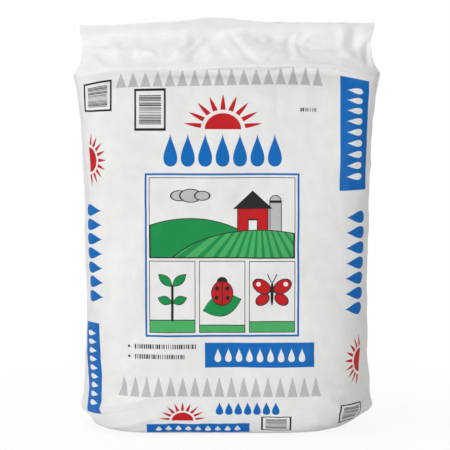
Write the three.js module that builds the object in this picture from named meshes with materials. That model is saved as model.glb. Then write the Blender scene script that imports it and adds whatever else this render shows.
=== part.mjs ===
// Sealed bag of topsoil: a side-gusseted film bag, full, standing on its folded-under bottom.
// Millimetres, +Z up, front panel towards -Y, origin on the floor under the middle of the bag.
import * as THREE from "three";

// The film bag as it is made, laid flat
const PANEL_WIDTH = 360; // front or back panel, from gusset crease to gusset crease
const GUSSET_WIDTH = 118; // side gusset, from its front crease to its back crease
const SEAL_HEIGHT = 10; // welded band along the top edge
const SEAL_THICKNESS = 2.4; // film layers welded together in that band

// The bag filled and standing
const BAG_HEIGHT = 510; // floor to the highest point of the top edge
const FILL_HEIGHT = 443; // top of the packed soil, where the gable starts
const SHOULDER_WIDTH = 374; // across the body at the fill line
const SHOULDER_DEPTH = 122; // front to back at the fill line
const WAIST_HEIGHT = 170; // where the filled body is narrowest and deepest
const WAIST_WIDTH = 348; // across the body at the waist
const BODY_DEPTH = 158; // front to back at the waist
const GABLE_HOLLOW = 1.5; // 1 is a straight slope up to the seal, more is hollow

// The folded-under bottom
const TIP_HEIGHT = 26; // the two raised ends of the bottom fold
const TIP_WIDTH = 366; // across those ends
const TURN_HEIGHT = 56; // where front and back start to turn under
const TIP_PINCH = 0.72; // how far front and back close on each other towards those ends
const BASE_WIDTH = 304; // flat patch that rests on the floor
const BASE_DEPTH = 114;
const BASE_SHIFT = -9; // the patch lies nearer the left end

// How square the filled outline is: 2 is an ellipse, large numbers a rectangle
const BASE_SQUARENESS = 5.5;
const WAIST_SQUARENESS = 4;
const SHOULDER_SQUARENESS = 9;

// Soft relief of the film, each the height of its ridges
const LUMP_HEIGHT = 2.2; // settled soil under the panels
const ROLL_HEIGHT = 11; // film that bulges in a roll over the fill line
const ROLL_SLUMP = 7; // how far that roll sinks, so that it hangs out over the panel
const PLEAT_HEIGHT = 4; // loose pleats in the gable
const PULL_HEIGHT = 3; // pulls that fan out from the bottom tips
const GUSSET_DENT = 5; // valley down the middle of each gusset
const TOP_EDGE_PEAK = 6.5; // the top edge's high point above the rest of it
const TOP_EDGE_SAG = 3; // further sag of its left end
const FILL_LINE_ARCH = 15; // how far the fill line rises over each panel, between its creases
const FILL_LINE_DRIFT = 3; // how far it wanders up and down besides

// Mesh density, in facets
const PANEL_FACETS = 30;
const GUSSET_FACETS = 14;
const TIP_RINGS = 5;
const TURN_RINGS = 4;
const BODY_RINGS = 19;
const ROLL_RINGS = 10;
const GABLE_RINGS = 8;

const FILM_COLOR = 0xe9e9e7;

const GIRTH = 2 * (PANEL_WIDTH + GUSSET_WIDTH);
const ROLL_REACH = 20; // half the height of the zone round the fill line that the roll fills
const GABLE_TOP = BAG_HEIGHT - SEAL_HEIGHT;

const { lerp, smoothstep, clamp } = THREE.MathUtils;
const bump = (distance, width) => Math.exp(-((distance / width) ** 2));

// Outline of the filled bag at one height, starting at the middle of the front and turning to +X.
class FilledSection extends THREE.Curve {
  constructor(halfWidth, halfDepth, squareness) {
    super();
    this.halfWidth = halfWidth;
    this.halfDepth = halfDepth;
    this.squareness = squareness;
    this.arcLengthDivisions = 360;
  }

  getPoint(t, target = new THREE.Vector3()) {
    const angle = 2 * Math.PI * t - Math.PI / 2;
    const across = Math.cos(angle);
    const along = Math.sin(angle);
    const power = this.squareness;
    const reach = (Math.abs(across) ** power + Math.abs(along) ** power) ** (-1 / power);
    return target.set(this.halfWidth * reach * across, this.halfDepth * reach * along, 0);
  }
}

// One station per column of film: its panel, its place from -1 to 1 in that panel, and its distance
// round the girth from the middle of the front.
function filmStations() {
  const panels = [
    { name: "front", middle: 0, width: PANEL_WIDTH, facets: PANEL_FACETS },
    { name: "right", middle: GIRTH / 4, width: GUSSET_WIDTH, facets: GUSSET_FACETS },
    { name: "back", middle: GIRTH / 2, width: PANEL_WIDTH, facets: PANEL_FACETS },
    { name: "left", middle: (3 * GIRTH) / 4, width: GUSSET_WIDTH, facets: GUSSET_FACETS },
  ];
  return panels.flatMap(({ name, middle, width, facets }) =>
    Array.from({ length: facets }, (_, i) => {
      const place = (2 * i) / facets - 1;
      return { name, place, girth: middle + (place * width) / 2 };
    }),
  );
}

function halfWidthAt(z) {
  const waist = WAIST_WIDTH / 2;
  const tip = TIP_WIDTH / 2;
  if (z >= WAIST_HEIGHT) {
    const rise = (z - WAIST_HEIGHT) / (FILL_HEIGHT - WAIST_HEIGHT);
    return lerp(waist, SHOULDER_WIDTH / 2, rise ** 5);
  }
  if (z >= TIP_HEIGHT) {
    const drop = (WAIST_HEIGHT - z) / (WAIST_HEIGHT - TIP_HEIGHT);
    return lerp(waist, tip, drop ** 2.6);
  }
  return lerp(BASE_WIDTH / 2, tip, (z / TIP_HEIGHT) ** 0.85);
}

function halfDepthAt(z) {
  const deepest = BODY_DEPTH / 2;
  if (z >= WAIST_HEIGHT) {
    const rise = (z - WAIST_HEIGHT) / (FILL_HEIGHT - WAIST_HEIGHT);
    return lerp(deepest, SHOULDER_DEPTH / 2, rise ** 2.2);
  }
  const turn = 1 - Math.min(z / TURN_HEIGHT, 1);
  return lerp(BASE_DEPTH / 2, deepest, Math.sqrt(1 - turn ** 2));
}

function squarenessAt(z) {
  const towardsShoulder = smoothstep(z, WAIST_HEIGHT, FILL_HEIGHT);
  const towardsWaist = smoothstep(z, TIP_HEIGHT, WAIST_HEIGHT);
  const lower = lerp(BASE_SQUARENESS, WAIST_SQUARENESS, towardsWaist);
  return lerp(lower, SHOULDER_SQUARENESS, towardsShoulder);
}

// Share of the depth left at a place across the bag, where the bottom closes towards its raised ends.
function pinchAt(x, z) {
  const closing = 1 - smoothstep(z, TIP_HEIGHT, WAIST_HEIGHT);
  return 1 - TIP_PINCH * closing * (Math.abs(x) / halfWidthAt(z)) ** 7;
}

// A column of film where the bag is pressed flat, its gussets tucked in between front and back.
function sealedPoint({ name, place }, tuck) {
  const halfWidth = PANEL_WIDTH / 2;
  const halfThickness = SEAL_THICKNESS / 2;
  const side = name === "front" || name === "right" ? 1 : -1;
  if (name === "front" || name === "back") {
    return new THREE.Vector3(side * place * halfWidth, -side * halfThickness, 0);
  }
  const inward = tuck * (1 - Math.abs(place));
  const round = halfThickness * Math.sqrt(1 - place ** 2) * (tuck === 0 ? 1 : 0);
  return new THREE.Vector3(side * (halfWidth - inward + round), side * place * halfThickness, 0);
}

// Height of the top edge below its highest point, for a place across the bag.
function topEdgeDip(x) {
  const across = x / (PANEL_WIDTH / 2);
  const offPeak = 1 - bump(across + 0.09, 0.24);
  return TOP_EDGE_PEAK * offPeak + TOP_EDGE_SAG * smoothstep(-across, 0.5, 0.85);
}


// How slack the empty film is at a station: not at all in the gussets and along their creases.
function slackAt({ name, place }) {
  return name === "left" || name === "right" ? 0 : 1 - Math.abs(place) ** 4;
}

// Rise of the film's level lines near the fill line.
function fillLineRise(station, x, z) {
  const across = x / (PANEL_WIDTH / 2);
  const drift = FILL_LINE_DRIFT * (0.6 * across + 0.4 * Math.sin(5 * across));
  return (FILL_LINE_ARCH * slackAt(station) + drift) * bump(z - FILL_HEIGHT, 1.6 * ROLL_REACH);
}

// How far the slack film sinks where it rolls over the fill line.
function rollSlump(station, z) {
  return ROLL_SLUMP * slackAt(station) * bump(z - FILL_HEIGHT - 2, 0.6 * ROLL_REACH);
}

// Relief of the film square to its surface; x is across the bag as seen from outside each panel.
function filmRelief(station, x, z) {
  const { name, place } = station;
  const gable = (z - FILL_HEIGHT) / (GABLE_TOP - FILL_HEIGHT);
  const filled = 1 - smoothstep(z, FILL_HEIGHT - ROLL_REACH, FILL_HEIGHT);
  const clearOfFloor = smoothstep(z, TIP_HEIGHT / 2, TURN_HEIGHT);
  if (name === "left" || name === "right") {
    return -GUSSET_DENT * bump(place, 0.4) * filled * clearOfFloor;
  }
  const phase = name === "front" ? 0 : 2.1;
  const slack = slackAt(station);
  const clods = Math.sin(x / 31 + phase) * Math.sin(z / 27 - x / 90);
  const lumps = clods + 0.6 * Math.sin(x / 17 + z / 21 + phase);
  const roll = bump(z - FILL_HEIGHT, 7) - 0.45 * bump(z - FILL_HEIGHT + 13, 7);
  const rollSpread = 0.75 + 0.25 * Math.sin(x / 40 + phase);
  const pleats = Math.sin(x / 21 + phase) + 0.8 * Math.sin(x / 13.5 - gable + 2 * phase);
  const loose = smoothstep(gable, 0.1, 0.45) * (1 - smoothstep(gable, 0.55, 0.95));
  const toTip = new THREE.Vector2(TIP_WIDTH / 2 - Math.abs(x), z - TIP_HEIGHT);
  const pulls = Math.cos(9 * toTip.angle()) * bump(toTip.length() - TIP_HEIGHT * 2, TIP_HEIGHT * 1.4);
  return (
    slack *
    (LUMP_HEIGHT * lumps * filled * clearOfFloor +
      ROLL_HEIGHT * roll * rollSpread +
      PLEAT_HEIGHT * pleats * loose +
      PULL_HEIGHT * pulls * clearOfFloor)
  );
}

// The ring of film at one height, as points ordered like the stations.
function filmRing(stations, z) {
  const rise = clamp((z - FILL_HEIGHT) / (GABLE_TOP - FILL_HEIGHT), 0, 1);
  const gable = 1 - (1 - rise) ** GABLE_HOLLOW;
  const open = 1 - smoothstep(gable, 0.86, 1);
  const filledZ = Math.min(z, FILL_HEIGHT);
  const section = new FilledSection(halfWidthAt(filledZ), halfDepthAt(filledZ), squarenessAt(filledZ));
  const points = stations.map((station) => {
    const turn = THREE.MathUtils.euclideanModulo(station.girth / GIRTH, 1);
    const filled = section.getPointAt(turn);
    filled.y *= pinchAt(filled.x, filledZ);
    filled.x += BASE_SHIFT * Math.max(0, 1 - z / TIP_HEIGHT);
    return filled.lerp(sealedPoint(station, (GUSSET_WIDTH / 2) * open), gable);
  });
  const normals = points.map((_, i) => {
    const next = points[(i + 1) % points.length];
    const previous = points[(i + points.length - 1) % points.length];
    return new THREE.Vector3(next.y - previous.y, previous.x - next.x, 0).normalize();
  });
  return points.map((point, i) => {
    const relief = filmRelief(stations[i], point.x, z);
    const sway = gable * PLEAT_HEIGHT * 0.6 * Math.sin(point.x / 46 + 0.7);
    const moved = point.clone().addScaledVector(normals[i], relief);
    const sink = rise * topEdgeDip(point.x) + rollSlump(stations[i], z);
    const height = z + fillLineRise(stations[i], point.x, z) - sink;
    return moved.add(new THREE.Vector3(0, sway, height));
  });
}

// Heights of the rings, close together where the film turns quickly.
function ringHeights() {
  const spread = (from, to, count) => Array.from({ length: count }, (_, i) => lerp(from, to, i / count));
  const tips = spread(0, 1, TIP_RINGS).map((step) => TIP_HEIGHT * step ** 1.4);
  const turn = spread(TIP_HEIGHT, TURN_HEIGHT, TURN_RINGS);
  const body = spread(TURN_HEIGHT, FILL_HEIGHT - ROLL_REACH, BODY_RINGS);
  const roll = spread(FILL_HEIGHT - ROLL_REACH, FILL_HEIGHT + ROLL_REACH, ROLL_RINGS);
  const gable = spread(FILL_HEIGHT + ROLL_REACH, GABLE_TOP, GABLE_RINGS);
  return [...tips, ...turn, ...body, ...roll, ...gable, GABLE_TOP, BAG_HEIGHT];
}

// Triangles between the rings, over the flat base and along the welded top edge.
function bagFaces(ringCount, columns) {
  const faces = [];
  const at = (ring, column) => ring * columns + ((column + columns) % columns);
  for (let ring = 0; ring < ringCount - 1; ring += 1) {
    for (let column = 0; column < columns; column += 1) {
      const [a, b] = [at(ring, column), at(ring, column + 1)];
      const [c, d] = [at(ring + 1, column + 1), at(ring + 1, column)];
      faces.push(a, b, c, a, c, d);
    }
  }
  const baseMiddle = ringCount * columns;
  for (let column = 0; column < columns; column += 1) {
    faces.push(baseMiddle, at(0, column + 1), at(0, column));
  }
  const top = ringCount - 1;
  const backStart = PANEL_FACETS + GUSSET_FACETS;
  for (let i = 0; i < PANEL_FACETS; i += 1) {
    const [a, b] = [at(top, i), at(top, i + 1)];
    const [c, d] = [at(top, backStart + PANEL_FACETS - i - 1), at(top, backStart + PANEL_FACETS - i)];
    faces.push(a, b, c, a, c, d);
  }
  for (const crease of [PANEL_FACETS, backStart + PANEL_FACETS]) {
    for (let i = 1; i < GUSSET_FACETS; i += 1) {
      faces.push(at(top, crease), at(top, crease + i), at(top, crease + i + 1));
    }
  }
  return faces;
}

function bagGeometry() {
  const stations = filmStations();
  const rings = ringHeights().map((z) => filmRing(stations, z));
  const points = [...rings.flat(), new THREE.Vector3(0, 0, 0)];
  const geometry = new THREE.BufferGeometry().setFromPoints(points);
  geometry.setIndex(bagFaces(rings.length, stations.length));
  geometry.computeBoundingBox();
  const middle = geometry.boundingBox.getCenter(new THREE.Vector3());
  const highest = geometry.boundingBox.max.z;
  geometry.translate(-middle.x, -middle.y, 0);
  geometry.scale(1, 1, BAG_HEIGHT / highest);
  geometry.computeVertexNormals();
  return geometry;
}

const film = new THREE.MeshStandardMaterial({ color: FILM_COLOR, roughness: 0.45, metalness: 0 });
const bag = new THREE.Mesh(bagGeometry(), film);
bag.name = "soil_bag";

const part = new THREE.Group();
part.name = "topsoil_bag";
part.add(bag);

export default part;
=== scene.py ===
"""Printed film for a full, sealed bag of topsoil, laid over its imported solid, with a studio round it."""

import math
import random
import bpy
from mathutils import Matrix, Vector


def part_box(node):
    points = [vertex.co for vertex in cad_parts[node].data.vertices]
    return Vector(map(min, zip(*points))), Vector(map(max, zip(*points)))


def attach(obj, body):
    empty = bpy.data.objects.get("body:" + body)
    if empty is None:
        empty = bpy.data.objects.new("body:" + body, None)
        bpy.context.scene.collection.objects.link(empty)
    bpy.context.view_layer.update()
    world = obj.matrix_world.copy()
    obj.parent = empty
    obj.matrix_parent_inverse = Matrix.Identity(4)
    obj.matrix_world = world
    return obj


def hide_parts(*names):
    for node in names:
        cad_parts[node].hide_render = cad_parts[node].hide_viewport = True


bl_info = {
    "name": "Topsoil Bag",
    "version": (1, 0, 0),
    "blender": (4, 5, 0),
    "location": "View3D > Sidebar > Soil Bag",
    "description": "Dresses the packed soil bag in printed film and sets a plain studio round it",
    "category": "Object",
}

from typing import NamedTuple

import bpy
import numpy as np
from bpy.props import FloatProperty, FloatVectorProperty, IntProperty, PointerProperty
from bpy.types import Operator, Panel, PropertyGroup
from mathutils import Vector

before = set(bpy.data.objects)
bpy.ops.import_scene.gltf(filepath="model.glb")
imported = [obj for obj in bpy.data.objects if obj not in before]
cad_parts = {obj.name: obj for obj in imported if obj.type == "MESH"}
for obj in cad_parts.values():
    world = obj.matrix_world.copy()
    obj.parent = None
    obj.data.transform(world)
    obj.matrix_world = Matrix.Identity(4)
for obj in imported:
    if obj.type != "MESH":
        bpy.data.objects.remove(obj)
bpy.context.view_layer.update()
BAG_NODE = "soil_bag"
BAG_LOW, BAG_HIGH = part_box(BAG_NODE)
BAG_HEIGHT = BAG_HIGH.z - BAG_LOW.z
FILL_LINE = 0.443  # top of the packed soil, where the gable starts
WELD_HEIGHT = 0.014  # band along the top edge that the weld holds in place
FLOOR_CONTACT = 0.004  # film below this height rests on the floor

FILM_MAP = "film"
FRONT_EDGE = 0.19  # across on the film map, where the front's measure ends
BACK_EDGE = 0.30  # across on the film map, where the back's measure starts
OUTLINE = 0.0011  # dark line round a printed shape

HELD_GROUP = "held"
SOIL_GROUP = "soil"
SLACK_GROUP = "slack"
SOIL_HOLD = 0.2  # share of its reach that is left to film on the soil
CLOD_SIZE = 0.024
CRUMB_SIZE = 0.008
FOLD_TAPER = 1.2  # above 1, a fold keeps its height round its middle
FOLD_SHARPNESS = 1.4  # 1 is a ridge with straight flanks, more is sharper


class Fold(NamedTuple):
    """A crease: its path on the film map, its spread to both sides and how far it lifts the film."""

    path: tuple
    spread: float
    height: float


LIP_FOLDS = (
    Fold(((-0.095, 0.4500), (-0.040, 0.4475), (0.020, 0.4465)), 0.009, -0.0055),
    Fold(((0.055, 0.4465), (0.100, 0.4478), (0.150, 0.4500)), 0.008, -0.0065),
    Fold(((0.070, 0.4590), (0.140, 0.4630)), 0.008, 0.0020),
)
GABLE_FOLDS = (
    Fold(((-0.090, 0.455), (-0.064, 0.498)), 0.011, -0.0024),
    Fold(((-0.066, 0.455), (-0.040, 0.498)), 0.018, 0.0026),
    Fold(((0.001, 0.538), (0.016, 0.506), (0.026, 0.481), (0.043, 0.459)), 0.010, -0.0022),
    Fold(((0.086, 0.540), (0.084, 0.463)), 0.008, 0.0026),
    Fold(((0.078, 0.537), (0.076, 0.470)), 0.007, -0.0016),
    Fold(((0.096, 0.529), (0.122, 0.527)), 0.005, 0.0010),
    Fold(((0.096, 0.520), (0.120, 0.517)), 0.005, 0.0010),
    Fold(((0.143, 0.550), (0.145, 0.490)), 0.009, 0.0020),
    Fold(((0.155, 0.572), (0.159, 0.486)), 0.012, -0.0036),
    Fold(((0.176, 0.528), (0.172, 0.476)), 0.010, -0.0060),
    Fold(((0.160, 0.512), (0.136, 0.462)), 0.012, 0.0028),
    Fold(((-0.171, 0.508), (-0.146, 0.462)), 0.012, 0.0026),
    Fold(((-0.141, 0.538), (-0.130, 0.472)), 0.012, 0.0020),
    Fold(((-0.033, 0.524), (-0.044, 0.467)), 0.011, -0.0018),
)
BODY_FOLDS = (
    Fold(((0.0615, 0.426), (0.0600, 0.383)), 0.008, -0.0012),
    Fold(((-0.140, 0.131), (-0.123, 0.128)), 0.007, 0.0010),
    Fold(((-0.139, 0.119), (-0.121, 0.117)), 0.007, 0.0010),
    Fold(((0.125, 0.066), (0.170, 0.060)), 0.011, -0.0022),
    Fold(((0.120, 0.080), (0.165, 0.084)), 0.012, 0.0016),
)
BOTTOM_FOLDS = (
    Fold(((-0.178, 0.026), (-0.070, 0.058)), 0.012, 0.0050),
    Fold(((-0.176, 0.014), (-0.080, 0.042)), 0.010, -0.0042),
    Fold(((-0.160, 0.002), (-0.076, 0.028)), 0.010, 0.0042),
    Fold(((-0.160, 0.052), (-0.090, 0.077)), 0.011, -0.0034),
    Fold(((-0.152, 0.072), (-0.100, 0.096)), 0.011, 0.0028),
    Fold(((0.176, 0.028), (0.108, 0.048)), 0.013, 0.0030),
    Fold(((0.172, 0.016), (0.104, 0.033)), 0.010, -0.0026),
    Fold(((0.156, 0.002), (0.096, 0.020)), 0.010, 0.0022),
)


def colour_property(name, description, default):
    """A colour that the panel shows as a swatch."""
    return FloatVectorProperty(
        name=name,
        description=description,
        subtype="COLOR",
        size=3,
        min=0.0,
        max=1.0,
        default=default,
    )


class SoilBagFilm(PropertyGroup):
    """How the film hangs on its load."""

    body_slack: FloatProperty(
        name="Body slack",
        description="Share by which the film is longer than the soil it wraps",
        subtype="FACTOR",
        min=0.0,
        max=0.1,
        default=0.005,
    )
    gable_slack: FloatProperty(
        name="Gable slack",
        description="Share by which the empty film above the soil is longer than the gable",
        subtype="FACTOR",
        min=0.0,
        max=0.1,
        default=0.035,
    )
    pressure: FloatProperty(
        name="Soil pressure",
        description="How hard the soil pushes the film out while it settles",
        min=0.0,
        default=0.6,
    )
    reach: FloatProperty(
        name="Reach",
        description="How far the settling film may leave the solid",
        unit="LENGTH",
        min=0.0,
        default=0.005,
    )
    settle_frames: IntProperty(
        name="Settling",
        description="Frames that the film takes to settle",
        min=1,
        default=20,
    )
    crinkles: IntProperty(
        name="Crinkles",
        description="Small folds strewn over the front of the gable, and as many over its back",
        min=0,
        default=34,
    )
    clod_height: FloatProperty(
        name="Clods",
        description="How far clods of soil press out under the film",
        unit="LENGTH",
        min=0.0,
        default=0.0030,
    )
    crumb_height: FloatProperty(
        name="Crumbs",
        description="How far crumbs of soil press out under the film",
        unit="LENGTH",
        min=0.0,
        default=0.0008,
    )


class SoilBagInks(PropertyGroup):
    """Colours of the film and its print."""

    film: colour_property("Film", "Bare white film", (0.80, 0.80, 0.79))
    blue: colour_property("Blue", "Drops, bars and the picture's border", (0.004, 0.138, 0.468))
    red: colour_property("Red", "Suns, barn, ladybird and butterfly", (0.515, 0.012, 0.016))
    leaf: colour_property("Leaf green", "Leaves and the far hill", (0.010, 0.262, 0.070))
    grass: colour_property("Grass green", "Grass and the near hill", (0.070, 0.402, 0.125))
    grey: colour_property("Grey", "Saw-tooth bands, silo and clouds", (0.50, 0.50, 0.50))
    line: colour_property("Line", "Dark outlines, stripes and small print", (0.018, 0.016, 0.016))


class SoilBagStudio(PropertyGroup):
    """Camera, lamps and floor."""

    distance: FloatProperty(
        name="Camera distance",
        description="From the camera to the middle of the bag",
        unit="LENGTH",
        default=2.6,
    )
    elevation: FloatProperty(
        name="Camera elevation",
        description="Angle at which the camera looks down",
        subtype="ANGLE",
        default=math.radians(7.0),
    )
    view_width: FloatProperty(
        name="View width",
        description="Width of the picture at the middle of the bag",
        unit="LENGTH",
        default=0.5596,
    )
    top_power: FloatProperty(
        name="Top lamp",
        description="Power of the large lamp overhead",
        unit="POWER",
        default=20.6,
    )
    left_power: FloatProperty(
        name="Left lamp",
        description="Power of the stronger low lamp in front",
        unit="POWER",
        default=14.6,
    )
    right_power: FloatProperty(
        name="Right lamp",
        description="Power of the weaker low lamp in front",
        unit="POWER",
        default=8.1,
    )
    back_power: FloatProperty(
        name="Back lamp",
        description="Power of the lamp behind the bag",
        unit="POWER",
        default=15.0,
    )
    sky: FloatProperty(
        name="Sky",
        description="Even light from all round",
        default=0.30,
    )


def active_only(piece):
    """Make a piece the one selected and active object."""
    bpy.ops.object.select_all(action="DESELECT")
    piece.select_set(True)
    bpy.context.view_layer.objects.active = piece


def vertex_places(mesh):
    """Places of the mesh's vertices as rows."""
    flat = np.empty(3 * len(mesh.vertices))
    mesh.vertices.foreach_get("co", flat)
    return flat.reshape(-1, 3)


def vertex_normals(mesh):
    """Directions out of the mesh's vertices as rows."""
    flat = np.empty(3 * len(mesh.vertices))
    mesh.vertex_normals.foreach_get("vector", flat)
    return flat.reshape(-1, 3)


def set_places(mesh, places):
    """Move the mesh's vertices to the places given as rows."""
    mesh.vertices.foreach_set("co", places.ravel())
    mesh.update()


def film_places(mesh):
    """The film map's place of each vertex as rows: across from the front middle, and up."""
    corners = np.empty(len(mesh.loops), int)
    mesh.loops.foreach_get("vertex_index", corners)
    flat = np.empty(2 * len(mesh.loops))
    mesh.uv_layers[FILM_MAP].data.foreach_get("uv", flat)
    places = np.zeros((len(mesh.vertices), 2))
    places[corners] = flat.reshape(-1, 2)
    return places


def smoothstep(value, low, high):
    """Rises smoothly from 0 at the low value to 1 at the high one."""
    share = np.clip((value - low) / (high - low), 0.0, 1.0)
    return share * share * (3.0 - 2.0 * share)


def solid_skin(name):
    """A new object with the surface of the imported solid, its loose triangles merged."""
    skin = bpy.data.objects.new(name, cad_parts[BAG_NODE].data.copy())
    skin.data.name = name
    bpy.context.collection.objects.link(skin)
    active_only(skin)
    bpy.ops.object.mode_set(mode="EDIT")
    bpy.ops.mesh.select_all(action="SELECT")
    bpy.ops.mesh.remove_doubles(threshold=1e-6)
    bpy.ops.object.mode_set(mode="OBJECT")
    return skin


def film_rings(mesh):
    """Vertex numbers of the film's rings from the base up, each from the back middle round by the left."""
    beside = [set() for _ in mesh.vertices]
    for first, second in (edge.vertices for edge in mesh.edges):
        beside[first].add(second)
        beside[second].add(first)
    place = [vertex.co for vertex in mesh.vertices]
    base_middle = min(range(len(place)), key=lambda i: place[i].length)
    ring = sorted(beside[base_middle], key=lambda i: math.atan2(place[i].y, place[i].x))
    rings = []
    seen = {base_middle}
    while ring:
        rings.append(ring)
        seen.update(ring)
        above = [(beside[here] & beside[ring[i - 1]]) - seen for i, here in enumerate(ring)]
        ring = [found.pop() for found in above if found]
    waist = [place[i] for i in rings[len(rings) // 2]]
    back = max(range(len(waist)), key=lambda i: waist[i].y - abs(waist[i].x))
    return np.roll(np.array(rings), -back, axis=1), base_middle


def clear_diagonals(skin, rings):
    """Turn the triangles between the rings into four-sided faces."""
    diagonals = set()
    for lower, upper in zip(rings[:-1], rings[1:]):
        diagonals.update(frozenset(pair) for pair in zip(lower.tolist(), np.roll(upper, -1).tolist()))
    active_only(skin)
    bpy.ops.object.mode_set(mode="EDIT")
    bpy.ops.mesh.select_mode(type="EDGE")
    bpy.ops.mesh.select_all(action="DESELECT")
    bpy.ops.object.mode_set(mode="OBJECT")
    for edge in skin.data.edges:
        edge.select = frozenset(edge.vertices) in diagonals
    bpy.ops.object.mode_set(mode="EDIT")
    bpy.ops.mesh.dissolve_edges(use_verts=False)
    bpy.ops.object.mode_set(mode="OBJECT")


def lay_film_map(mesh, rings, base_middle):
    """Map the film in metres: across from the front's middle to the back's, and up along the front."""
    place = vertex_places(mesh)
    columns = rings.shape[1]
    closed = place[np.hstack([rings, rings[:, :1]])]
    across = np.zeros(closed.shape[:2])
    across[:, 1:] = np.cumsum(np.linalg.norm(np.diff(closed, axis=1), axis=2), axis=1)
    front = closed[:, columns // 2]
    across += front[:, :1] - across[:, columns // 2][:, None]
    half_girth = np.median(across[:, -1] - across[:, 0]) / 2
    short = np.where(across > 0.0, half_girth - across[:, -1:], -half_girth - across[:, :1])
    across += short * smoothstep(abs(across), FRONT_EDGE, BACK_EDGE)
    up = np.concatenate([[0.0], np.cumsum(np.linalg.norm(np.diff(front, axis=0), axis=1))])
    up += front[len(front) // 2, 2] - up[len(front) // 2]
    ring_of = np.zeros(len(place), int)
    column_of = np.zeros(len(place), int)
    for number, ring in enumerate(rings):
        ring_of[ring] = number
        column_of[ring] = np.arange(columns)
    under = up[0] - np.linalg.norm(place[base_middle] - front[0])
    film_map = mesh.uv_layers.new(name=FILM_MAP)
    for face in mesh.polygons:
        held = [column_of[i] for i in face.vertices if i != base_middle]
        wraps = max(held) - min(held) > columns // 2
        for loop in face.loop_indices:
            vertex = mesh.loops[loop].vertex_index
            column = column_of[vertex]
            if vertex == base_middle:
                film_map.data[loop].uv = (across[0, held[0]], under)
            elif wraps and column < columns // 2:
                film_map.data[loop].uv = (across[ring_of[vertex], columns], up[ring_of[vertex]])
            else:
                film_map.data[loop].uv = (across[ring_of[vertex], column], up[ring_of[vertex]])


def smooth_finer(piece):
    """Halve the mesh's spacing on a smooth surface."""
    active_only(piece)
    finer = piece.modifiers.new("finer", "SUBSURF")
    finer.levels = 1
    finer.render_levels = 1
    bpy.ops.object.modifier_apply(modifier=finer.name)


def weigh_group(piece, name, weights):
    """Give each vertex its weight in the piece's vertex group of that name."""
    group = piece.vertex_groups.get(name) or piece.vertex_groups.new(name=name)
    for index, weight in enumerate(weights.tolist()):
        group.add([index], weight, "REPLACE")


def mark_zones(piece):
    """Weigh which film is held in place, which film soil fills, and which film is slack."""
    height = vertex_places(piece.data)[:, 2]
    on_floor = height < FLOOR_CONTACT
    in_weld = height > BAG_HEIGHT - WELD_HEIGHT
    weigh_group(piece, HELD_GROUP, np.where(on_floor | in_weld, 1.0, 0.0))
    soil = 1.0 - smoothstep(height, FILL_LINE - 0.035, FILL_LINE - 0.005)
    weigh_group(piece, SOIL_GROUP, soil * smoothstep(height, FLOOR_CONTACT, 0.03))
    weigh_group(piece, SLACK_GROUP, smoothstep(height, FILL_LINE - 0.01, FILL_LINE + 0.01))


def free_reach(height, reach):
    """How far film at a height may move while it settles: freely in the gable, little on the soil."""
    in_gable = smoothstep(height, FILL_LINE + 0.010, FILL_LINE + 0.035)
    return reach * (SOIL_HOLD + (1.0 - SOIL_HOLD) * in_gable)


def settle(piece, film):
    """Let the film, a little too long for its load, settle under the soil's pressure near the solid."""
    laid = vertex_places(piece.data)
    cloth = piece.modifiers.new("settling", "CLOTH")
    cloth.settings.quality = 8
    cloth.settings.mass = 0.1
    cloth.settings.tension_stiffness = 60.0
    cloth.settings.compression_stiffness = 60.0
    cloth.settings.shear_stiffness = 30.0
    cloth.settings.bending_stiffness = 0.2
    cloth.settings.vertex_group_shrink = SLACK_GROUP
    cloth.settings.shrink_min = -film.body_slack
    cloth.settings.shrink_max = -film.gable_slack
    cloth.settings.use_pressure = True
    cloth.settings.uniform_pressure_force = film.pressure
    cloth.settings.vertex_group_pressure = SOIL_GROUP
    cloth.settings.vertex_group_mass = HELD_GROUP
    cloth.settings.effector_weights.gravity = 0.0
    cloth.point_cache.frame_end = film.settle_frames
    for number in range(1, film.settle_frames + 1):
        bpy.context.scene.frame_set(number)
    active_only(piece)
    bpy.ops.object.modifier_apply(modifier=cloth.name)
    moved = vertex_places(piece.data) - laid
    distance = np.linalg.norm(moved, axis=1)
    reach = free_reach(laid[:, 2], film.reach)
    moved *= (reach / np.maximum(distance, reach))[:, None]
    set_places(piece.data, laid + moved)


def distance_to_path(places, path):
    """Distance of places of the film map from a path of straight pieces."""
    nearest = np.full(len(places), np.inf)
    for start, end in zip(path[:-1], path[1:]):
        way = np.subtract(end, start)
        offset = places - start
        along = np.clip(offset @ way / (way @ way), 0.0, 1.0)
        nearest = np.minimum(nearest, np.linalg.norm(offset - along[:, None] * way, axis=1))
    return nearest


def press_folds(mesh, folds):
    """Press folds into the film, out of it or down into it."""
    film = film_places(mesh)
    lift = np.zeros(len(film))
    for fold in folds:
        nearness = np.clip(1.0 - distance_to_path(film, fold.path) / fold.spread, 0.0, 1.0)
        half_length = np.linalg.norm(np.subtract(fold.path[-1], fold.path[0])) / 2
        from_middle = np.linalg.norm(film - np.mean((fold.path[0], fold.path[-1]), axis=0), axis=1)
        taper = np.clip(FOLD_TAPER - (from_middle / half_length) ** 2, 0.0, 1.0)
        lift += fold.height * taper * nearness**FOLD_SHARPNESS
    set_places(mesh, vertex_places(mesh) + lift[:, None] * vertex_normals(mesh))


def scattered_folds(near, far, count, seed):
    """Small folds strewn over the gable, between two distances to either side of the front middle."""
    pick = random.Random(seed)
    folds = []
    for _ in range(count):
        side = pick.choice((-1.0, 1.0))
        foot = (side * pick.uniform(near, far), pick.uniform(0.462, 0.515))
        top = (foot[0] + pick.uniform(-0.025, 0.025), foot[1] + pick.uniform(0.012, 0.032))
        height = pick.choice((-1.0, 1.0)) * pick.uniform(0.0008, 0.0022)
        folds.append(Fold((foot, top), pick.uniform(0.006, 0.010), height))
    return folds


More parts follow.
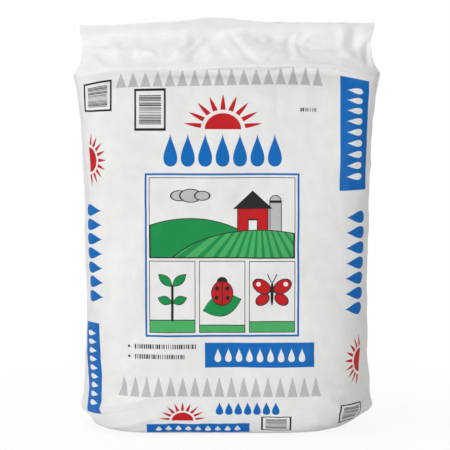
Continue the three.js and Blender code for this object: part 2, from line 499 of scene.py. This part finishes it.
def press_out_soil(piece, name, size, height):
    """Press soil of one grain size out under the film."""
    grain = bpy.data.textures.new(name, "CLOUDS")
    grain.noise_scale = size
    grain.noise_depth = 1
    active_only(piece)
    pressed = piece.modifiers.new(name, "DISPLACE")
    pressed.texture = grain
    pressed.texture_coords = "LOCAL"
    pressed.vertex_group = SOIL_GROUP
    pressed.mid_level = 0.5
    pressed.strength = height
    bpy.ops.object.modifier_apply(modifier=pressed.name)


def feed(tree, socket, source):
    """Link a socket to another node's output, or set it to a value."""
    if isinstance(source, bpy.types.NodeSocket):
        tree.links.new(source, socket)
    else:
        socket.default_value = source


def maths(tree, operation, *sources):
    """The output of a Math node."""
    node = tree.nodes.new("ShaderNodeMath")
    node.operation = operation
    for socket, source in zip(node.inputs, sources):
        feed(tree, socket, source)
    return node.outputs["Value"]


def field_reach(tree, x, y, count):
    """A rectangle."""
    return maths(tree, "MAXIMUM", maths(tree, "ABSOLUTE", x), maths(tree, "ABSOLUTE", y))


def disc_reach(tree, x, y, count):
    """A disc."""
    across = maths(tree, "MULTIPLY", x, x)
    return maths(tree, "SQRT", maths(tree, "MULTIPLY_ADD", y, y, across))


def leaf_reach(tree, x, y, count):
    """A leaf that lies along the way across."""
    width = maths(tree, "SUBTRACT", 1.0, maths(tree, "MULTIPLY", x, x))
    side = maths(tree, "DIVIDE", maths(tree, "ABSOLUTE", y), maths(tree, "MAXIMUM", width, 0.001))
    return maths(tree, "MAXIMUM", side, maths(tree, "ABSOLUTE", x))


def spike_reach(tree, x, y, count):
    """A triangle that stands on its base."""
    width = maths(tree, "MULTIPLY_ADD", y, -0.5, 0.5)
    side = maths(tree, "DIVIDE", maths(tree, "ABSOLUTE", x), maths(tree, "MAXIMUM", width, 0.001))
    return maths(tree, "MAXIMUM", side, maths(tree, "ABSOLUTE", y))


def drop_reach(tree, x, y, count):
    """A drop with its tip up."""
    inside = maths(tree, "SUBTRACT", 1.0, maths(tree, "MULTIPLY", y, y))
    round_off = maths(tree, "SQRT", maths(tree, "MAXIMUM", inside, 0.0001))
    taper = maths(tree, "MULTIPLY_ADD", y, -0.77, 0.77)
    width = maths(tree, "MAXIMUM", maths(tree, "MULTIPLY", taper, round_off), 0.001)
    side = maths(tree, "DIVIDE", maths(tree, "ABSOLUTE", x), width)
    return maths(tree, "MAXIMUM", side, maths(tree, "ABSOLUTE", y))


def sun_reach(tree, x, y, count):
    """A sun that has half risen, with its rays."""
    across = maths(tree, "MULTIPLY", x, x)
    far = maths(tree, "SQRT", maths(tree, "MULTIPLY_ADD", y, y, across))
    disc = maths(tree, "DIVIDE", far, 0.46)
    turn = maths(tree, "DIVIDE", maths(tree, "ARCTAN2", y, x), math.pi)
    within = maths(tree, "FRACT", maths(tree, "MULTIPLY", turn, count))
    off_ray = maths(tree, "ABSOLUTE", maths(tree, "MULTIPLY_ADD", within, 2.0, -1.0))
    ray_width = maths(tree, "MAXIMUM", maths(tree, "MULTIPLY_ADD", far, -1.5, 1.5), 0.001)
    beside = maths(tree, "DIVIDE", off_ray, ray_width)
    ray = maths(tree, "MAXIMUM", beside, maths(tree, "DIVIDE", 0.56, far))
    shining = maths(tree, "MAXIMUM", maths(tree, "MINIMUM", disc, ray), far)
    below = maths(tree, "LESS_THAN", y, 0.0)
    return maths(tree, "MULTIPLY_ADD", below, 9.0, shining)


def bars_reach(tree, x, y, count):
    """A block of stripes of uneven width that lie across."""
    along = maths(tree, "MULTIPLY", y, count)
    number = maths(tree, "FLOOR", along)
    pick = tree.nodes.new("ShaderNodeTexWhiteNoise")
    pick.noise_dimensions = "1D"
    tree.links.new(number, pick.inputs["W"])
    width = maths(tree, "MULTIPLY_ADD", pick.outputs["Value"], 0.5, 0.3)
    stripe = maths(tree, "DIVIDE", maths(tree, "FRACT", along), width)
    return maths(tree, "MAXIMUM", stripe, field_reach(tree, x, y, count))


def furrow_reach(tree, x, y, count):
    """Furrows that run together far off at the top."""
    turn = maths(tree, "ARCTAN2", x, maths(tree, "SUBTRACT", 1.0, y))
    within = maths(tree, "FRACT", maths(tree, "MULTIPLY", turn, count))
    return maths(tree, "MULTIPLY", maths(tree, "ABSOLUTE", maths(tree, "SUBTRACT", within, 0.5)), 5.0)


SHAPES = {
    "field": field_reach,
    "disc": disc_reach,
    "leaf": leaf_reach,
    "spike": spike_reach,
    "drop": drop_reach,
    "sun": sun_reach,
    "bars": bars_reach,
    "furrows": furrow_reach,
}


def shape_group(kind):
    """Node group of a printed shape: its reach is under 1 inside the shape, which spans -1 to 1."""
    name = "printed_" + kind
    if name in bpy.data.node_groups:
        return bpy.data.node_groups[name]
    group = bpy.data.node_groups.new(name, "ShaderNodeTree")
    for value in ("Across", "Up", "Count"):
        group.interface.new_socket(value, in_out="INPUT", socket_type="NodeSocketFloat")
    group.interface.new_socket("Reach", in_out="OUTPUT", socket_type="NodeSocketFloat")
    start = group.nodes.new("NodeGroupInput")
    end = group.nodes.new("NodeGroupOutput")
    reach = SHAPES[kind](group, start.outputs["Across"], start.outputs["Up"], start.outputs["Count"])
    group.links.new(reach, end.inputs["Reach"])
    return group


class Press:
    """Prints inks on the film one over the other; a place is two values, across and up."""

    def __init__(self, tree, film_colour):
        self.tree = tree
        film = tree.nodes.new("ShaderNodeUVMap")
        film.uv_map = FILM_MAP
        split = tree.nodes.new("ShaderNodeSeparateXYZ")
        tree.links.new(film.outputs["UV"], split.inputs["Vector"])
        self.film = (split.outputs["X"], split.outputs["Y"])
        self.colour = (*film_colour, 1.0)

    def slope(self, place, middle, steps):
        """A value that is 0 at the middle and grows by these steps per metre across and up."""
        start = -steps[0] * middle[0] - steps[1] * middle[1]
        across = maths(self.tree, "MULTIPLY_ADD", place[0], steps[0], start)
        return maths(self.tree, "MULTIPLY_ADD", place[1], steps[1], across)

    def spot(self, middle, half, turn=0.0, place=None):
        """Place within a spot of the film, from -1 to 1 across its half sizes."""
        place = place or self.film
        cos = math.cos(turn)
        sin = math.sin(turn)
        across = self.slope(place, middle, (cos / half[0], sin / half[0]))
        up = self.slope(place, middle, (-sin / half[1], cos / half[1]))
        return across, up

    def row(self, place, count, fill):
        """Place within each of a count of cells along a spot, whose shapes fill a share of their cell."""
        along = maths(self.tree, "MULTIPLY_ADD", place[0], count / 2, count / 2)
        within = maths(self.tree, "FRACT", along)
        return maths(self.tree, "MULTIPLY_ADD", within, 2 / fill, -1 / fill), place[1]

    def mirrored(self, middle):
        """Place from a middle, the same on its left as on its right."""
        across, up = self.spot(middle, (1.0, 1.0))
        return maths(self.tree, "ABSOLUTE", across), up

    def shape(self, kind, place, count=1.0):
        """Reach of a shape."""
        shape = self.tree.nodes.new("ShaderNodeGroup")
        shape.node_tree = shape_group(kind)
        self.tree.links.new(place[0], shape.inputs["Across"])
        self.tree.links.new(place[1], shape.inputs["Up"])
        shape.inputs["Count"].default_value = count
        return shape.outputs["Reach"]

    def inside(self, reach, *others):
        """Reach of what lies in a shape and in others too."""
        for other in others:
            reach = maths(self.tree, "MAXIMUM", reach, other)
        return reach

    def ink(self, colour, reach, share=1.0):
        """Print a colour where a reach is under a share."""
        covered = maths(self.tree, "LESS_THAN", reach, share)
        mix = self.tree.nodes.new("ShaderNodeMix")
        mix.data_type = "RGBA"
        feed(self.tree, mix.inputs["Factor"], covered)
        feed(self.tree, mix.inputs[6], self.colour)
        mix.inputs[7].default_value = (*colour, 1.0)
        self.colour = mix.outputs[2]

    def outlined(self, colour, line, kind, middle, half, turn=0.0, place=None, within=()):
        """Print a shape with a dark line round it."""
        reach = self.shape(kind, self.spot(middle, half, turn, place))
        self.ink(line, self.inside(reach, *within))
        self.ink(colour, self.inside(reach, *within), 1.0 - OUTLINE / min(half))


def print_bands(press, inks, middle, half_width, count):
    """Grey saw-tooth bands across the top and the bottom of a panel."""
    for height, half_height in ((0.4400, 0.010), (0.0635, 0.0125)):
        teeth = press.spot((middle, height), (half_width, half_height))
        tooth = press.row(teeth, count, 0.86)
        press.ink(inks.grey, press.inside(press.shape("spike", tooth), press.shape("field", teeth)))


def print_stripe_box(press, inks, middle, half, turn=0.0):
    """A framed block of dark stripes."""
    box = press.spot(middle, half, turn)
    reach = press.shape("field", box)
    press.ink(inks.line, reach)
    press.ink(inks.film, reach, 0.88)
    press.ink(inks.line, press.shape("bars", press.spot(middle, [0.7 * side for side in half], turn), 9.0))


def print_bar(press, inks, middle, half, turn=0.0):
    """A blue bar with a row of white drops along it."""
    press.ink(inks.blue, press.shape("field", press.spot(middle, half, turn)))
    drops = press.spot(middle, (0.86 * half[0], 0.56 * half[1]), turn)
    drop = press.row(drops, 9, 0.62)
    press.ink(inks.film, press.inside(press.shape("drop", drop), press.shape("field", drops)))


def print_drops(press, inks, middle, half, count, turn=0.0):
    """A row of blue drops."""
    drops = press.spot(middle, half, turn)
    drop = press.row(drops, count, 0.80)
    press.ink(inks.blue, press.inside(press.shape("drop", drop), press.shape("field", drops)))


def print_sun(press, inks, foot, half, turn=0.0):
    """A red sun that rises from its foot."""
    press.ink(inks.red, press.shape("sun", press.spot(foot, half, turn), 9.0))


def print_small_lines(press, inks):
    """Short dotted lines of small dark print: two with a dot before them, and one alone."""
    for height, half_length in ((0.1130, 0.038), (0.1005, 0.031)):
        press.ink(inks.line, press.shape("disc", press.spot((-0.1205, height), (0.0016, 0.0016))))
        line = press.spot((-0.1135 + half_length, height), (0.0028, half_length), math.pi / 2)
        press.ink(inks.line, press.shape("bars", line, 14.0))
    alone = press.spot((0.0975, 0.4005), (0.0022, 0.0105), math.pi / 2)
    press.ink(inks.line, press.shape("bars", alone, 5.0))


def print_panel(press, inks, middle, half):
    """A white picture with a thin dark edge; returns its reach for what is drawn in it."""
    reach = press.shape("field", press.spot(middle, half))
    press.ink(inks.line, reach)
    inner = press.shape("field", press.spot(middle, [side - 0.0009 for side in half]))
    press.ink(inks.film, inner)
    return inner


def print_farm(press, inks, middle, half):
    """Barn, silo and furrowed hills."""
    panel = print_panel(press, inks, middle, half)
    x, y = middle
    for shift, size in ((-0.052, 0.011), (-0.038, 0.014), (-0.024, 0.010)):
        cloud = (x + shift, y + 0.027)
        press.outlined(inks.grey, inks.line, "disc", cloud, (size, 0.6 * size), within=(panel,))
    press.outlined(inks.leaf, inks.line, "disc", (x - 0.040, y - 0.082), (0.110, 0.082), within=(panel,))
    press.outlined(inks.grey, inks.line, "disc", (x + 0.0645, y + 0.020), (0.0075, 0.0075), within=(panel,))
    press.outlined(inks.grey, inks.line, "field", (x + 0.0645, y), (0.0075, 0.021), within=(panel,))
    press.outlined(inks.line, inks.line, "spike", (x + 0.037, y + 0.022), (0.024, 0.011), within=(panel,))
    press.outlined(inks.red, inks.line, "field", (x + 0.037, y - 0.005), (0.019, 0.017), within=(panel,))
    press.outlined(inks.film, inks.line, "field", (x + 0.037, y - 0.011), (0.006, 0.010), within=(panel,))
    near = (x + 0.045, y - 0.086)
    hill = press.shape("disc", press.spot(near, (0.125, 0.072)))
    press.ink(inks.line, press.inside(hill, panel))
    press.ink(inks.grass, press.inside(hill, panel), 0.985)
    furrows = press.shape("furrows", press.spot((near[0], near[1] + 0.060), (0.05, 0.05)), 7.0)
    press.ink(inks.leaf, press.inside(furrows, press.inside(hill, panel)), 0.985)


def print_ground(press, inks, panel, middle, half, height):
    """Grass along the foot of a picture."""
    foot = (middle[0], middle[1] - half[1])
    for colour, top in ((inks.line, height), (inks.grass, height - OUTLINE)):
        field = press.shape("field", press.spot(foot, (half[0], top)))
        press.ink(colour, press.inside(field, panel))


def print_sprout(press, inks, middle, half):
    """A sprout with two pairs of leaves."""
    panel = print_panel(press, inks, middle, half)
    print_ground(press, inks, panel, middle, half, 0.016)
    x, y = middle
    press.ink(inks.line, press.shape("field", press.spot((x, y - 0.008), (0.0015, 0.022))))
    pair = press.mirrored((x, y))
    for lift, reach, turn in ((0.012, 0.0115, 0.75), (-0.008, 0.0095, 0.35)):
        leaf = (reach * math.cos(turn), lift + reach * math.sin(turn))
        size = (reach, 0.0055)
        press.outlined(inks.leaf, inks.line, "leaf", leaf, size, turn, place=pair, within=(panel,))


def print_ladybird(press, inks, middle, half):
    """A ladybird on a leaf."""
    panel = print_panel(press, inks, middle, half)
    print_ground(press, inks, panel, middle, half, 0.010)
    x, y = middle
    press.outlined(inks.leaf, inks.line, "leaf", (x, y - 0.010), (0.0245, 0.0135), 0.30, within=(panel,))
    press.ink(inks.line, press.shape("disc", press.spot((x, y + 0.0185), (0.0065, 0.0060))))
    press.outlined(inks.red, inks.line, "disc", (x, y + 0.0045), (0.0135, 0.0155))
    press.ink(inks.line, press.shape("field", press.spot((x, y + 0.0045), (0.0007, 0.0150))))
    pair = press.mirrored((x, y))
    for spot in ((0.0062, 0.0105), (0.0068, -0.0010)):
        press.ink(inks.line, press.shape("disc", press.spot(spot, (0.0026, 0.0028), place=pair)))


def print_butterfly(press, inks, middle, half):
    """A butterfly over grass."""
    panel = print_panel(press, inks, middle, half)
    print_ground(press, inks, panel, middle, half, 0.014)
    x, y = middle
    pair = press.mirrored((x, y + 0.004))
    wings = (((0.0115, -0.0075), (0.0095, 0.0070), -0.6), ((0.0125, 0.0085), (0.0125, 0.0085), 0.6))
    for wing, size, turn in wings:
        press.outlined(inks.red, inks.line, "disc", wing, size, turn, place=pair, within=(panel,))
    press.ink(inks.film, press.shape("disc", press.spot((0.0165, 0.0115), (0.0028, 0.0028), place=pair)))
    feeler = press.spot((0.0035, 0.0190), (0.0055, 0.0006), 1.15, place=pair)
    press.ink(inks.line, press.shape("field", feeler))
    press.ink(inks.line, press.shape("disc", press.spot((x, y + 0.004), (0.0020, 0.0150))))


def print_picture(press, inks):
    """Four pictures in a thin blue border: a wide one over three small ones."""
    middle = (-0.0055, 0.2245)
    half = (0.0935, 0.0995)
    border = press.shape("field", press.spot(middle, half))
    press.ink(inks.blue, border)
    press.ink(inks.film, press.shape("field", press.spot(middle, [side - 0.0024 for side in half])))
    print_farm(press, inks, (middle[0], middle[1] + 0.0455), (0.0885, 0.0490))
    row = middle[1] - 0.0505
    pictures = (print_sprout, print_ladybird, print_butterfly)
    for shift, picture in zip((-0.0605, 0.0, 0.0605), pictures):
        picture(press, inks, (middle[0] + shift, row), (0.0280, 0.0440))


def print_front(press, inks):
    """Everything on the front panel."""
    print_bands(press, inks, -0.009, 0.126, 17)
    print_stripe_box(press, inks, (-0.0925, 0.4015), (0.0190, 0.0262))
    print_sun(press, inks, (-0.0045, 0.3770), (0.0480, 0.0420))
    print_drops(press, inks, (-0.0050, 0.3520), (0.0735, 0.0200), 7)
    print_picture(press, inks)
    print_small_lines(press, inks)
    print_bar(press, inks, (0.0405, 0.1025), (0.0670, 0.0152))
    print_sun(press, inks, (-0.0540, 0.0195), (0.0290, 0.0240))
    print_drops(press, inks, (0.0255, 0.0365), (0.0400, 0.0085), 7)
    print_bar(press, inks, (-0.0350, 0.0065), (0.0630, 0.0080))
    print_stripe_box(press, inks, (0.0605, 0.0140), (0.0185, 0.0115))


def print_sides(press, inks):
    """Everything on the two rounded sides, turned to read along them."""
    left_turn = -math.pi / 2
    right_turn = math.pi / 2
    print_stripe_box(press, inks, (-0.1570, 0.4210), (0.0180, 0.0210))
    print_sun(press, inks, (-0.1700, 0.3400), (0.0330, 0.0240), left_turn)
    print_drops(press, inks, (-0.1660, 0.2245), (0.0620, 0.0130), 7, left_turn)
    print_bar(press, inks, (-0.1760, 0.0800), (0.0580, 0.0150), left_turn)
    print_bar(press, inks, (0.1555, 0.3740), (0.0710, 0.0185), right_turn)
    print_drops(press, inks, (0.1600, 0.2130), (0.0660, 0.0140), 7, right_turn)
    print_sun(press, inks, (0.1740, 0.0910), (0.0330, 0.0250), right_turn)
    print_stripe_box(press, inks, (0.1600, 0.0240), (0.0190, 0.0130))


def print_back(press, inks):
    """Two columns on the back, each the mirror of the other: bars, dotted lines, a sun and drops."""
    press.film = press.mirrored((0.0, 0.0))
    column = 0.380
    half_width = 0.062
    print_bands(press, inks, column, half_width, 9)
    print_bar(press, inks, (column, 0.3850), (half_width, 0.0150))
    first_line = 0.3550
    line_step = 0.0135
    for number in range(9):
        half_length = half_width - 0.004 * (number % 3)
        height = first_line - line_step * number
        line = press.spot((column, height), (0.0026, half_length), math.pi / 2)
        press.ink(inks.line, press.shape("bars", line, 21.0 + number))
    print_sun(press, inks, (column, 0.1780), (0.0480, 0.0420))
    print_drops(press, inks, (column, 0.1530), (half_width, 0.0170), 6)
    print_bar(press, inks, (column, 0.1040), (half_width, 0.0150))


def film_noise(tree, scale, detail):
    """Noise on the film's own place in the bag."""
    noise = tree.nodes.new("ShaderNodeTexNoise")
    noise.inputs["Scale"].default_value = scale
    noise.inputs["Detail"].default_value = detail
    place = tree.nodes.new("ShaderNodeTexCoord")
    tree.links.new(place.outputs["Object"], noise.inputs["Vector"])
    return noise.outputs["Fac"]


def film_material(inks):
    """Satin white polyethylene, printed, with crinkles and the faint shade of the soil behind it."""
    material = bpy.data.materials.new("printed_film")
    material.use_nodes = True
    tree = material.node_tree
    shader = tree.nodes["Principled BSDF"]
    press = Press(tree, inks.film)
    print_front(press, inks)
    print_sides(press, inks)
    print_back(press, inks)
    shade = tree.nodes.new("ShaderNodeMapRange")
    shade.inputs["From Min"].default_value = 0.35
    shade.inputs["From Max"].default_value = 0.65
    shade.inputs["To Min"].default_value = 0.955
    shade.inputs["To Max"].default_value = 1.0
    feed(tree, shade.inputs["Value"], film_noise(tree, 55.0, 3.0))
    mottled = tree.nodes.new("ShaderNodeVectorMath")
    mottled.operation = "SCALE"
    feed(tree, mottled.inputs["Vector"], press.colour)
    feed(tree, mottled.inputs["Scale"], shade.outputs["Result"])
    feed(tree, shader.inputs["Base Color"], mottled.outputs["Vector"])
    gloss = tree.nodes.new("ShaderNodeMapRange")
    gloss.inputs["To Min"].default_value = 0.30
    gloss.inputs["To Max"].default_value = 0.52
    feed(tree, gloss.inputs["Value"], film_noise(tree, 90.0, 2.0))
    feed(tree, shader.inputs["Roughness"], gloss.outputs["Result"])
    shader.inputs["Specular IOR Level"].default_value = 0.12
    crinkle = tree.nodes.new("ShaderNodeBump")
    crinkle.inputs["Strength"].default_value = 0.35
    crinkle.inputs["Distance"].default_value = 0.0012
    feed(tree, crinkle.inputs["Height"], film_noise(tree, 160.0, 4.0))
    feed(tree, shader.inputs["Normal"], crinkle.outputs["Normal"])
    return material


class OBJECT_OT_soil_bag_film(Operator):
    """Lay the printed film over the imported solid"""

    bl_idname = "object.soil_bag_film"
    bl_label = "Film Bag"

    def execute(self, context):
        film = context.scene.soil_bag_film
        bag = solid_skin("film_bag")
        rings, base_middle = film_rings(bag.data)
        clear_diagonals(bag, rings)
        lay_film_map(bag.data, rings, base_middle)
        smooth_finer(bag)
        mark_zones(bag)
        settle(bag, film)
        smooth_finer(bag)
        front = scattered_folds(0.0, 0.165, film.crinkles, seed=3)
        back = scattered_folds(0.31, 0.46, film.crinkles, seed=5)
        press_folds(bag.data, [*LIP_FOLDS, *GABLE_FOLDS, *BODY_FOLDS, *BOTTOM_FOLDS, *front, *back])
        mark_zones(bag)
        press_out_soil(bag, "clods", CLOD_SIZE, film.clod_height)
        press_out_soil(bag, "crumbs", CRUMB_SIZE, film.crumb_height)
        bpy.ops.object.shade_smooth()
        bag.data.materials.clear()
        bag.data.materials.append(film_material(context.scene.soil_bag_inks))
        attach(bag, "root")
        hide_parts(BAG_NODE)
        return {"FINISHED"}


def seen_directly(tree):
    """1 for rays from the camera and from reflections, else 0."""
    path = tree.nodes.new("ShaderNodeLightPath")
    reflected = maths(tree, "MAXIMUM", path.outputs["Is Glossy Ray"], path.outputs["Is Transmission Ray"])
    return maths(tree, "MAXIMUM", path.outputs["Is Camera Ray"], reflected)


def add_floor():
    """A wide pale floor that keeps the bag's shadow and fades to white away from it."""
    bpy.ops.object.select_all(action="DESELECT")
    bpy.ops.mesh.primitive_plane_add(size=60.0, location=(0.0, 0.0, 0.0))
    floor = bpy.context.active_object
    floor.name = "floor"
    material = bpy.data.materials.new("pale_floor")
    material.use_nodes = True
    tree = material.node_tree
    paint = tree.nodes["Principled BSDF"]
    paint.inputs["Base Color"].default_value = (0.86, 0.86, 0.86, 1.0)
    paint.inputs["Roughness"].default_value = 0.9
    white = tree.nodes.new("ShaderNodeEmission")
    white.inputs["Strength"].default_value = 1.0
    place = tree.nodes.new("ShaderNodeTexCoord")
    far = tree.nodes.new("ShaderNodeVectorMath")
    far.operation = "LENGTH"
    tree.links.new(place.outputs["Object"], far.inputs[0])
    fade = tree.nodes.new("ShaderNodeMapRange")
    fade.interpolation_type = "SMOOTHSTEP"
    fade.inputs["From Min"].default_value = 0.15
    fade.inputs["From Max"].default_value = 0.6
    fade.inputs["To Min"].default_value = 0.9
    tree.links.new(far.outputs["Value"], fade.inputs["Value"])
    share = maths(tree, "MULTIPLY", fade.outputs["Result"], seen_directly(tree))
    mix = tree.nodes.new("ShaderNodeMixShader")
    tree.links.new(share, mix.inputs["Fac"])
    tree.links.new(paint.outputs["BSDF"], mix.inputs[1])
    tree.links.new(white.outputs["Emission"], mix.inputs[2])
    tree.links.new(mix.outputs["Shader"], tree.nodes["Material Output"].inputs["Surface"])
    floor.data.materials.append(material)


def add_lamp(name, place, size, power):
    """A large square lamp that faces the middle of the bag."""
    lamp = bpy.data.lights.new(name, "AREA")
    lamp.size = size
    lamp.energy = power
    holder = bpy.data.objects.new(name, lamp)
    holder.location = place
    aim = Vector((0.0, 0.0, BAG_HEIGHT / 2)) - holder.location
    holder.rotation_euler = aim.to_track_quat("-Z", "Y").to_euler()
    bpy.context.collection.objects.link(holder)


def add_sky(strength):
    """Even pale light from all round, white where the camera or a reflection sees it."""
    world = bpy.data.worlds.new("sky")
    bpy.context.scene.world = world
    world.use_nodes = True
    tree = world.node_tree
    level = tree.nodes.new("ShaderNodeMapRange")
    level.inputs["To Min"].default_value = strength
    level.inputs["To Max"].default_value = 1.0
    tree.links.new(seen_directly(tree), level.inputs["Value"])
    background = tree.nodes["Background"]
    background.inputs["Color"].default_value = (1.0, 1.0, 1.0, 1.0)
    tree.links.new(level.outputs["Result"], background.inputs["Strength"])


def add_camera(studio):
    """The camera in front of the bag, a little above its middle."""
    lens = bpy.data.cameras.new("camera")
    lens.sensor_width = 36.0
    lens.lens = lens.sensor_width * studio.distance / studio.view_width
    camera = bpy.data.objects.new("camera", lens)
    aim = Vector((-0.0021, 0.0, BAG_HEIGHT / 2 - 0.0027))
    back = Vector((0.0, -math.cos(studio.elevation), math.sin(studio.elevation)))
    camera.location = aim + studio.distance * back
    camera.rotation_euler = (-back).to_track_quat("-Z", "Y").to_euler()
    bpy.context.collection.objects.link(camera)
    bpy.context.scene.camera = camera


class SCENE_OT_soil_bag_studio(Operator):
    """Set the camera, the lamps, the sky and a pale floor round the bag"""

    bl_idname = "scene.soil_bag_studio"
    bl_label = "Studio"

    def execute(self, context):
        studio = context.scene.soil_bag_studio
        add_floor()
        add_lamp("top", (-0.5, -0.25, 2.2), 0.9, studio.top_power)
        add_lamp("left", (-1.3, -1.7, 0.25), 0.5, studio.left_power)
        add_lamp("right", (0.9, -1.9, 0.25), 0.5, studio.right_power)
        add_lamp("back", (-0.4, 1.9, 1.3), 0.8, studio.back_power)
        add_sky(studio.sky)
        add_camera(studio)
        context.scene.view_settings.view_transform = "Standard"
        return {"FINISHED"}


class VIEW3D_PT_soil_bag(Panel):
    """Sidebar panel of the soil bag"""

    bl_label = "Soil Bag"
    bl_space_type = "VIEW_3D"
    bl_region_type = "UI"
    bl_category = "Soil Bag"

    def draw(self, context):
        scene = context.scene
        for settings in (scene.soil_bag_film, scene.soil_bag_inks, scene.soil_bag_studio):
            box = self.layout.box()
            for name in settings.__annotations__:
                box.prop(settings, name)
        self.layout.operator(OBJECT_OT_soil_bag_film.bl_idname)
        self.layout.operator(SCENE_OT_soil_bag_studio.bl_idname)


CLASSES = (
    SoilBagFilm,
    SoilBagInks,
    SoilBagStudio,
    OBJECT_OT_soil_bag_film,
    SCENE_OT_soil_bag_studio,
    VIEW3D_PT_soil_bag,
)


def register():
    """Register the classes and hang the settings on the scene."""
    for item in CLASSES:
        bpy.utils.register_class(item)
    bpy.types.Scene.soil_bag_film = PointerProperty(type=SoilBagFilm)
    bpy.types.Scene.soil_bag_inks = PointerProperty(type=SoilBagInks)
    bpy.types.Scene.soil_bag_studio = PointerProperty(type=SoilBagStudio)


def unregister():
    """Take the settings off the scene and unregister the classes."""
    del bpy.types.Scene.soil_bag_studio
    del bpy.types.Scene.soil_bag_inks
    del bpy.types.Scene.soil_bag_film
    for item in reversed(CLASSES):
        bpy.utils.unregister_class(item)


def main():
    """Make the bag and its studio."""
    register()
    bpy.ops.object.soil_bag_film()
    bpy.ops.scene.soil_bag_studio()
    bpy.context.view_layer.update()


if __name__ == "__main__":
    main()
